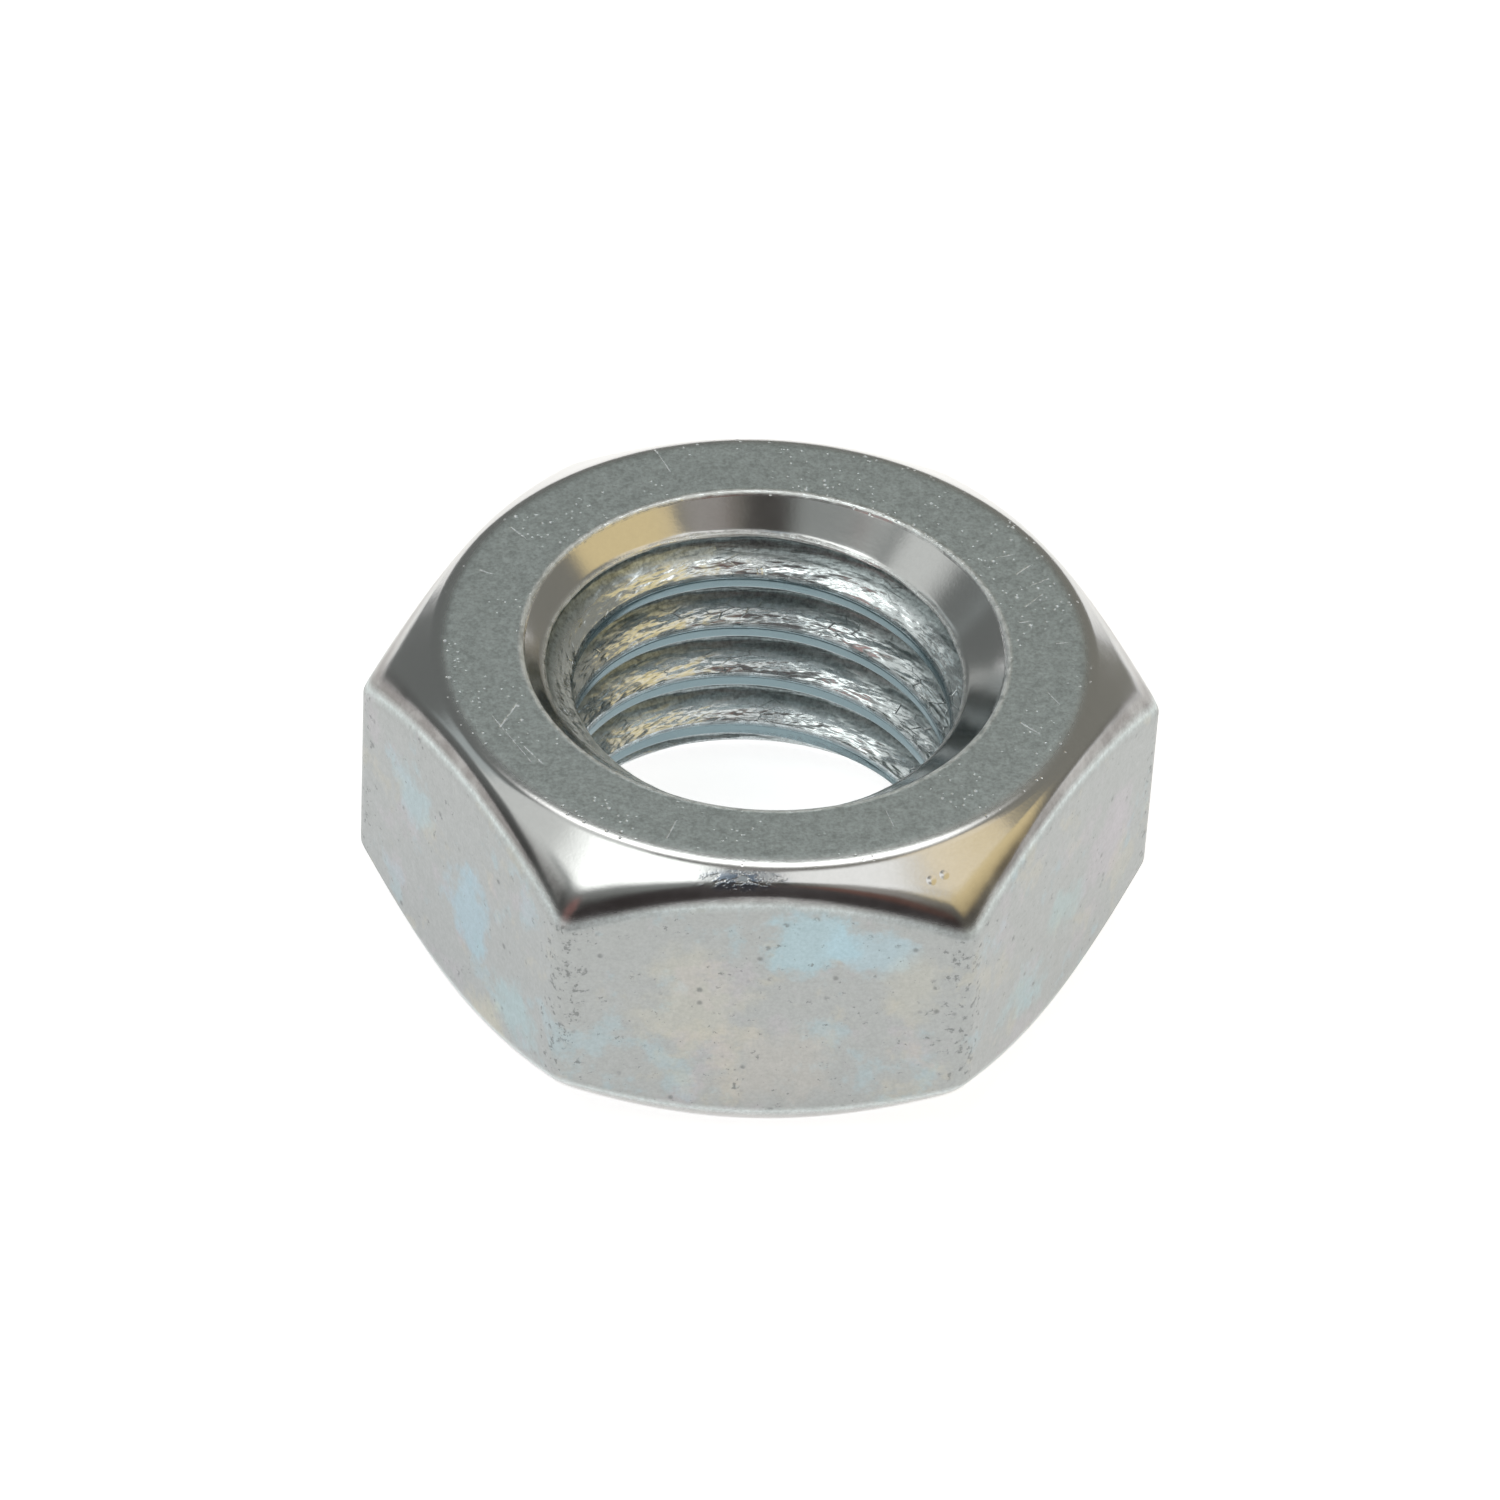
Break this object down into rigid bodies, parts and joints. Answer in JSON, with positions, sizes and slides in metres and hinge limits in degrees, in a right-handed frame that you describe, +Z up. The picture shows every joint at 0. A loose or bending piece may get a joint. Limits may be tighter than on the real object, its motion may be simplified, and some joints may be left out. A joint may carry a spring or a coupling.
{
  "type": "hex nut",
  "caption": "Zinc-plated hexagon nut with a right-hand internal thread, chamfered corners and a countersink at each mouth of the bore.",
  "frame": {"origin": "centre of the lower bearing face, on the thread's axis", "axes": "+Z up the bore, square to the bearing faces; +X through a corner, +Y square to a flat"},
  "size_m": [0.018, 0.0158, 0.0077],
  "materials": {
    "zinc_plate": "cold-formed steel, bright zinc plated with a clear blue-white passivate: satin bearing faces, glossy chamfers and countersinks, faintly iridescent satin flats"
  },
  "bodies": {
    "root": {"nut": "zinc_plate"}
  },
  "joints": []
}
